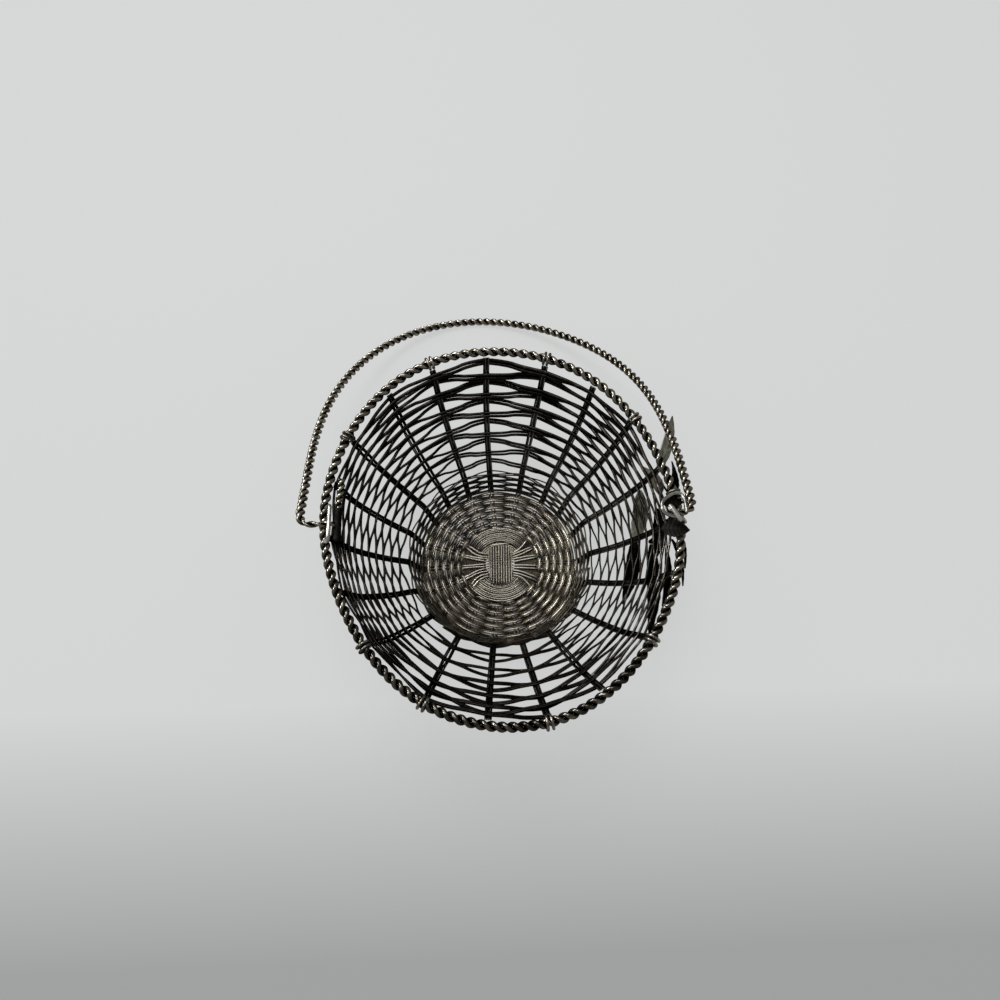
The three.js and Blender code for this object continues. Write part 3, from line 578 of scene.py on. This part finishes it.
m = 58 * 18
th = np.linspace(0, 2 * np.pi, m, endpoint=False)
C = np.stack([rim_r(th) * np.cos(th), rim_r(th) * np.sin(th)], 1)
s = np.concatenate([[0], np.cumsum(np.linalg.norm(np.diff(np.concatenate([C, C[:1]]), axis=0), axis=1))])
th = np.interp(np.linspace(0, s[-1], m, endpoint=False), s, np.append(th, 2 * np.pi))
C = np.stack([rim_r(th) * np.cos(th), rim_r(th) * np.sin(th), np.full(m, RIM_Z)], 1)
T = np.roll(C, -1, 0) - np.roll(C, 1, 0)
T /= np.linalg.norm(T, axis=1)[:, None]
UPV = np.tile([0, 0, 1.0], (m, 1))
OUT = np.cross(T, UPV)
rate = 1 / (5.48 + 0.37 * np.sin(th))              # the lay is a little longer on the far side
lay = np.concatenate([[0], np.cumsum(rate)])
lay = -2 * np.pi * 58 * lay[:-1] / lay[-1]
w = Wires()
# painted shade: the rope along the front is made darker
rope(w, C, OUT, UPV, lay, closed=True, reach=1 + 0.35 * np.clip((np.cos(th - np.radians(262)) - 0.1) / 0.6, 0, 1))
w.object("rim_rope_wires", ROPE, "basket", ["rim_rope"])


# ---------------------------------------------------------------- ties over the rim
def rim_frame(th):
    p = np.array([rim_r(th) * math.cos(th), rim_r(th) * math.sin(th), RIM_Z])
    q = np.array([rim_r(th + 0.01) * math.cos(th + 0.01), rim_r(th + 0.01) * math.sin(th + 0.01), RIM_Z])
    t = (q - p) / np.linalg.norm(q - p)
    return p, t, np.array([t[1], -t[0], 0.0])


def tie(name, node, th, seed):
    """two lashings side by side, each one turn of wire over the rope and down both its sides"""
    p, t, out = rim_frame(th)
    z = np.array([0, 0, 1.0])
    q = np.random.RandomState(seed)
    w = Wires()
    for side in (-1, 1):
        lean = q.uniform(0.15, 0.55) * side
        a = np.radians(np.linspace(246 + q.uniform(-8, 8), -60 - q.uniform(0, 16), 56))
        rad = 3.36 + 0.12 * (1 - np.abs(np.sin(a)))
        along = side * 1.22 + lean * np.linspace(-1, 1, 56)
        P = p + np.outer(rad * np.cos(a), out) + np.outer(rad * np.sin(a), z) + np.outer(along, t)
        r = np.full(56, 0.72)
        r[-5:] = np.linspace(0.7, 0.45, 5)
        w.tube(P, r, 14, wear_and_light=0.75)
    w.object(name, TIE, "basket", [node])


for j, i in enumerate(TIED):
    tie("rim_tie_%d_wires" % (j + 1), "rim_tie_%d" % (j + 1), float(stake_az(i, 78.0)), 500 + j)
tie("leaf_tie_wires", "leaf_tie", math.radians(7.4), 520)

# ---------------------------------------------------------------- rope end and sleeve inside the rim, left
w = Wires()
C = smooth_curve([[-87.0, 28, 80.4], [-87.2, 20, 81.0], [-87.7, 14, 81.3], [-88.0, 10.4, 81.4]], 50)
T = np.gradient(C, axis=0)
T /= np.linalg.norm(T, axis=1)[:, None]
B = np.tile([0, 0, 1.0], (len(C), 1))
Nn = np.cross(T, B)
Nn /= np.linalg.norm(Nn, axis=1)[:, None]
B = np.cross(Nn, T)
rope(w, C, Nn, B, -2 * np.pi * 2.2 * np.linspace(0, 1, len(C)), strand=1.08, offset=1.1)
w.object("rim_rope_tail_wires", ROPE, "basket", ["rim_rope_tail"])

w = Wires()
y = np.linspace(9.8, -7.0, 24)
P = np.stack([-88.1 + 0.2 * (9.8 - y) / 16.8, y, np.full(24, 81.4)], 1)
w.tube(P, 2.25 + 0.05 * np.sin(y * 1.7), 20, wear_and_light=0.3)
w.object("rim_sleeve_tube", DARK, "basket", ["rim_sleeve"])

# ---------------------------------------------------------------- handle loops
w = Wires()
P = smooth_curve([[-93.2, 9.3, 86.0], [-91.9, 9.9, 87.2], [-90.9, 9.3, 88.9], [-90.6, 6.8, 89.9], [-90.6, 0, 90.05],
                  [-90.6, -6.8, 89.9], [-90.9, -9.3, 88.9], [-91.9, -9.9, 87.2], [-93.2, -9.3, 86.0]], 70)
w.tube(P, 1.15 + 0.03 * np.sin(np.arange(70) * 0.6), 16, wear_and_light=0.9)
w.object("left_handle_loop_wire", BRIGHT, "basket", ["left_handle_loop"])
w = Wires()
P = smooth_curve([[99.2, -5.6, 86.6], [98.0, -4.8, 88.6], [95.2, -3.7, 90.3], [91.2, -3.4, 91.4], [87.7, -1.9, 92.1],
                  [86.3, 1.4, 92.3], [87.4, 4.8, 92.0], [90.6, 7.5, 91.3], [94.2, 9.4, 90.7], [97.2, 9.5, 90.4], [98.9, 7.4, 90.5],
                  [99.4, 4.0, 90.8], [99.5, 0.6, 91.1], [99.4, -1.2, 91.2]], 110)
w.tube(P, 1.0 + 0.04 * np.sin(np.arange(110) * 0.5), 16, wear_and_light=0.75)
w.object("right_handle_loop_wire", BRIGHT, "basket", ["right_handle_loop"])
w = Wires()
P = smooth_curve([[95.4, -6.6, 92.7], [93.2, -2.9, 93.4], [90.6, 1.7, 93.6]], 30)
w.tube(P, np.concatenate([np.linspace(0.75, 1.22, 6), np.full(18, 1.22), np.linspace(1.22, 0.9, 6)]), 16, wear_and_light=1.0, flat=((0, 0, 1.0), 0.36, 1.0))
w.object("right_loop_tail_wire", BRIGHT, "basket", ["right_loop_tail"])


# ---------------------------------------------------------------- leaves
def leaf(name, node, A, B, width, normal, arch, mat, thick=0.7, veins=7, curl=0.0):
    A, B, n = np.array(A, float), np.array(B, float), np.array(normal, float)
    L = B - A
    length = np.linalg.norm(L)
    t = L / length
    n = n - n.dot(t) * t
    n /= np.linalg.norm(n)
    s = np.cross(t, n)
    M, K = 56, 24
    u = np.linspace(0, 1, M)
    half = np.maximum(0.3, 0.5 * width * np.sin(np.pi * u ** 0.8) ** 0.8)
    teeth = 1 - 0.07 * np.abs(np.sin(np.pi * veins * 1.0 * u))
    half = half * teeth
    x = np.linspace(-1, 1, K)
    uu, xx = np.meshgrid(u, x, indexing="ij")
    hh = half[:, None]
    fold = 0.16 * hh * np.abs(xx) ** 1.3
    mid = 0.38 * np.exp(-(xx * hh / 0.55) ** 2) * (1 - uu) ** 0.4
    rib = 0.16 * np.clip(np.sin(2 * np.pi * (veins * uu - 0.9 * np.abs(xx))) - 0.2, 0, 1) * np.clip(np.abs(xx) * 3, 0, 1) * np.sin(np.pi * uu) ** 0.5
    wave = curl * np.sin(3.0 * np.pi * uu) * xx
    lift = arch * np.sin(np.pi * uu) + fold + wave
    top = A + uu[..., None] * L + (xx * hh)[..., None] * s + (lift + thick / 2 + mid + rib)[..., None] * n
    low = A + uu[..., None] * L + (xx * hh)[..., None] * s + (lift - thick / 2 - 0.4 * mid - 0.8 * rib)[..., None] * n
    v = np.concatenate([top.reshape(-1, 3), low.reshape(-1, 3)]) * 0.001
    f = []
    o = M * K
    for i in range(M - 1):
        for j in range(K - 1):
            p = i * K + j
            f.append((p, p + K, p + K + 1, p + 1))
            f.append((o + p, o + p + 1, o + p + K + 1, o + p + K))
    for i in range(M - 1):
        p = i * K
        f.append((p, o + p, o + p + K, p + K))
        p = i * K + K - 1
        f.append((p, p + K, o + p + K, o + p))
    for j in range(K - 1):
        f.append((j, j + 1, o + j + 1, o + j))
        p = (M - 1) * K + j
        f.append((p, o + p, o + p + 1, p + 1))
    mesh = bpy.data.meshes.new(name)
    mesh.from_pydata(v.tolist(), [], f)
    wear_and_light = (0.35 + 0.9 * mid / 0.38 * 0.6 + 0.5 * rib / 0.16 + 0.35 * np.clip(np.abs(xx) * 6 - 5, 0, 1)).reshape(-1)
    a = mesh.attributes.new("wear_and_light", "FLOAT", "POINT")
    a.data.foreach_set("value", np.concatenate([wear_and_light, wear_and_light]).astype(np.float32))
    mesh.polygons.foreach_set("use_smooth", [True] * len(mesh.polygons))
    mesh.materials.append(mat)
    mesh.update()
    ob = bpy.data.objects.new(name, mesh)
    bpy.context.scene.collection.objects.link(ob)
    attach(ob, "basket")
    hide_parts(node)
    return ob


LEAVES = [
    ["leaf_1", [102, 47, 31], [118, 89, 27], 8.5, [0.5, 0, 1], 3, LEAF_M],
    ["leaf_2", [96.5, 23, 53], [89, 43, 50], 12, [0.6, 0, 0.8], 2, LEAF_M],
    ["leaf_3", [100.5, 19, 62], [105, 43, 57], 13, [0.9, 0, 0.5], 1.5, LEAF_SHADED],
    ["leaf_4", [88, 32, 40], [80.5, -4, 31], 14, [0.6, 0, 0.8], 2, LEAF_M],
    ["leaf_5", [99.5, -2, 66], [104.5, -23, 56], 10, [1, 0, 0.5], 1.5, LEAF_SHADED],
    ["leaf_6", [98.5, -6, 58], [104.5, -31, 47], 11, [1, 0, 0.5], 1.5, LEAF_SHADED],
    ["leaf_7", [82, 2, 36], [72.8, -36, 26], 12, [0.6, 0, 0.9], 2, LEAF_SHADED],
    ["leaf_8", [89, -5, 46], [84.5, -57, 35], 13.5, [0.7, 0, 0.8], 2, LEAF_SHADED],
    ["leaf_9", [86.3, -8.6, 86.0], [101.2, -10.2, 86.2], 10, [0, 0, 1], 0.8, LEAF_DEEP_SHADE],
    ["leaf_10", [87.6, 6.4, 86.2], [100.2, 5.8, 86.0], 6.2, [0, 0, 1], 0.3, LEAF_SHADED],
    ["leaf_11", [92.5, 13, 58], [90, -15, 53], 12, [0.88, 0, -0.47], 1.5, LEAF_SHADED],
    ["leaf_12", [96.5, -9, 51], [90.5, -43, 50], 11, [0.8, 0, 0.5], 1.5, LEAF_SHADED],
]
for name, a, b, wd, nn, arch, mat in LEAVES:
    leaf(name + "_blade", name, a, b, wd * 0.99, nn, arch, mat)
w = Wires()
P = smooth_curve([[100.6, 11, 77.0], [100.8, 9, 70], [98.9, 5, 60], [95.8, 1, 50], [91, -1, 38]], 60)
w.tube(P, 1.35, 12, wear_and_light=0.4)
w.object("leaf_stem_wire", LEAF_SHADED, "basket", ["leaf_stem"])
w = Wires()
P = smooth_curve([[102.7, 8, 66], [104.4, 14, 58], [104.3, 24, 47.5], [103, 36, 37.5], [101.9, 45.6, 31.4]], 60)
w.tube(P, 0.66, 10, wear_and_light=0.4)
w.object("leaf_branch_wire", LEAF_SHADED, "basket", ["leaf_branch"])

# ---------------------------------------------------------------- bail
path = ([[-88.8, 0], [-92, 0], [-96, 0], [-100, 0], [-103.6, 0.6], [-106.6, 3.2], [-107.9, 8.0]] + BAIL
        + [[104.9, 6.5], [103.4, 2.4], [101, 0.4], [97.5, 0], [94, 0], [91.6, 0]])
flat = smooth_curve([[x, u, 0] for x, u in path], 56 * 20)
cb, sb = math.cos(BAIL_REST), math.sin(BAIL_REST)


def bail_xyz(P):
    """points in the bail's plane (x, distance from the hinge, height over the plane) to the row frame"""
    P = np.asarray(P, float)
    return np.stack([P[..., 0], P[..., 1] * cb + P[..., 2] * sb, HINGE_Z - P[..., 1] * sb + P[..., 2] * cb], -1)


T = np.gradient(flat, axis=0)
T /= np.linalg.norm(T, axis=1)[:, None]
B = np.tile([0, 0, 1.0], (len(flat), 1))
Nn = np.cross(T, B)
# the rope thins down where its ends turn in to make the hinge
full = np.clip((flat[:, 1] - 0.4) / 6.0, 0, 1)
full = full * full * (3 - 2 * full)
step = np.concatenate([[0], np.linalg.norm(np.diff(flat, axis=0), axis=1)])
lay = -2 * np.pi * np.cumsum(step / (10.7 + 2.6 * (1 - full)))
C, Nn, B = bail_xyz(flat), bail_xyz(Nn) - bail_xyz([0, 0, 0]), bail_xyz(B) - bail_xyz([0, 0, 0])
w = Wires()
rope(w, C, Nn, B, lay, strand=0.91 + 0.375 * full, offset=0.91 + 0.395 * full)
w.object("bail_rope_wires", ROPE, "bail", ["bail_rope"])

# ---------------------------------------------------------------- floor and light
def plane(name, size, z):
    mesh = bpy.data.meshes.new(name)
    h = size / 2
    mesh.from_pydata([(-h, -h, z), (h, -h, z), (h, h, z), (-h, h, z)], [], [(0, 1, 2, 3)])
    o = bpy.data.objects.new(name, mesh)
    bpy.context.scene.collection.objects.link(o)
    return o


floor = plane("floor", 6.0, 0.0)
fm = bpy.data.materials.new("floor_paper")
fm.use_nodes = True
bs = fm.node_tree.nodes["Principled BSDF"]
bs.inputs["Base Color"].default_value = (0.15, 0.152, 0.15, 1)
bs.inputs["Emission Color"].default_value = (0.985, 1.0, 0.99, 1)
# painted light: the floor glows by itself rather than only being lit, and glows less towards the front as painted shade
ft = fm.node_tree
fc, fx, fr = ft.nodes.new("ShaderNodeTexCoord"), ft.nodes.new("ShaderNodeSeparateXYZ"), ft.nodes.new("ShaderNodeMapRange")
fr.inputs["From Min"].default_value, fr.inputs["From Max"].default_value = -0.22, -0.085
fr.inputs["To Min"].default_value, fr.inputs["To Max"].default_value = 0.22, 0.52
ft.links.new(fc.outputs["Object"], fx.inputs["Vector"])
ft.links.new(fx.outputs["Y"], fr.inputs["Value"])
ft.links.new(fr.outputs["Result"], bs.inputs["Emission Strength"])
bs.inputs["Roughness"].default_value = 0.9
bs.inputs["Specular IOR Level"].default_value = 0.2
floor.data.materials.append(fm)

world = bpy.data.worlds.new("studio")
bpy.context.scene.world = world
world.use_nodes = True
wt = world.node_tree
bg = wt.nodes["Background"]
bg.inputs["Color"].default_value = (0.96, 0.98, 1.0, 1)
# the room: pale for the diffuse light that it gives, dimmer where it is mirrored in the metal
ray = wt.nodes.new("ShaderNodeLightPath")
dim = wt.nodes.new("ShaderNodeMapRange")
dim.inputs["To Min"].default_value, dim.inputs["To Max"].default_value = 0.62, 0.34
wt.links.new(ray.outputs["Is Glossy Ray"], dim.inputs["Value"])
wt.links.new(dim.outputs["Result"], bg.inputs["Strength"])


def area(name, loc, size, power, aim=(0, 0, 0.04), colour=(1, 1, 1), size_y=None, diffuse=True):
    d = bpy.data.lights.new(name, "AREA")
    d.energy = power
    d.size = size
    d.color = colour
    if size_y:
        d.shape, d.size_y = "RECTANGLE", size_y
    o = bpy.data.objects.new(name, d)
    bpy.context.scene.collection.objects.link(o)
    o.location = loc
    o.visible_diffuse = diffuse
    o.rotation_euler = (Vector(aim) - Vector(loc)).to_track_quat("-Z", "Y").to_euler()
    return o


area("overhead", (-0.15, 0.45, 1.15), 0.6, 6.0, colour=(1.0, 0.99, 0.97))
area("window", (-0.75, 0.95, 0.95), 0.34, 14.0, colour=(0.98, 0.99, 1.0), diffuse=False)
area("side_window", (-0.95, 0.12, 0.80), 0.26, 8.0, colour=(1.0, 0.99, 0.96), diffuse=False)

bpy.context.scene.view_settings.view_transform = "Standard"
